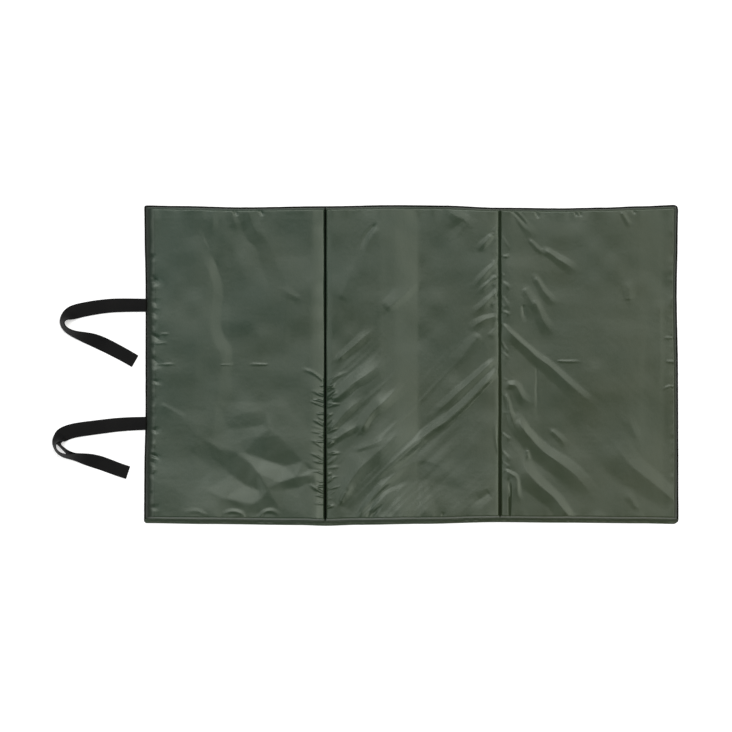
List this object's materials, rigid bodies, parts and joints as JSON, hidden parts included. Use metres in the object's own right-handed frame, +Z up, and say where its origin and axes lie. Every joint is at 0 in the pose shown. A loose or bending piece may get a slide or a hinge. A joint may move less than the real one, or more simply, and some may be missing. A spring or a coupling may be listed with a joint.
{
  "type": "unhooking mat",
  "caption": "Folding padded mat: foam panels in a coated fabric cover, with sewn fold seams and elastic strap loops, for laying a fish on while it is unhooked.",
  "frame": {"origin": "on the floor under the centre of the mat's outline, straps not counted", "axes": "+X along the mat's long side, away from the edge with the strap loops; +Y to the rear edge, away from the closing hem; +Z up"},
  "size_m": [1.1716, 0.595, 0.0293],
  "materials": {
    "cover_fabric": "dark olive coated woven nylon, satin sheen, creased",
    "base_fabric": "near-black coated woven nylon, dull",
    "edge_seam": "near-black rolled seam of the cover fabric",
    "foam": "grey closed-cell foam, matt",
    "thread": "dark polyester sewing thread",
    "strap_webbing": "black ribbed elastic webbing, matt"
  },
  "bodies": {
    "middle_panel": {"middle_foam_core": "foam", "middle_top_cover": "cover_fabric", "middle_bottom_cover": "base_fabric", "middle_edge_seam": "edge_seam", "middle_front_hem": "cover_fabric", "middle_hem_stitching": "thread", "left_fold_web": "cover_fabric", "left_fold_stitching": "thread", "right_fold_web": "cover_fabric", "right_fold_stitching": "thread"},
    "left_panel": {"left_foam_core": "foam", "left_top_cover": "cover_fabric", "left_bottom_cover": "base_fabric", "left_edge_seam": "edge_seam", "left_front_hem": "cover_fabric", "left_hem_stitching": "thread", "upper_strap_loop": "strap_webbing", "lower_strap_loop": "strap_webbing"},
    "right_panel": {"right_foam_core": "foam", "right_top_cover": "cover_fabric", "right_bottom_cover": "base_fabric", "right_edge_seam": "edge_seam", "right_front_hem": "cover_fabric", "right_hem_stitching": "thread"}
  },
  "joints": [
    {"name": "left_panel_fold", "type": "hinge", "parent": "middle_panel", "child": "left_panel", "pos_m": [-0.161, 0, 0.0315], "axis": [0, 1, 0], "range_deg": [0, 180], "deforming": ["left_fold_web"]},
    {"name": "right_panel_fold", "type": "hinge", "parent": "middle_panel", "child": "right_panel", "pos_m": [0.166, 0, 0.021], "axis": [0, -1, 0], "range_deg": [0, 180], "deforming": ["right_fold_web"]}
  ]
}
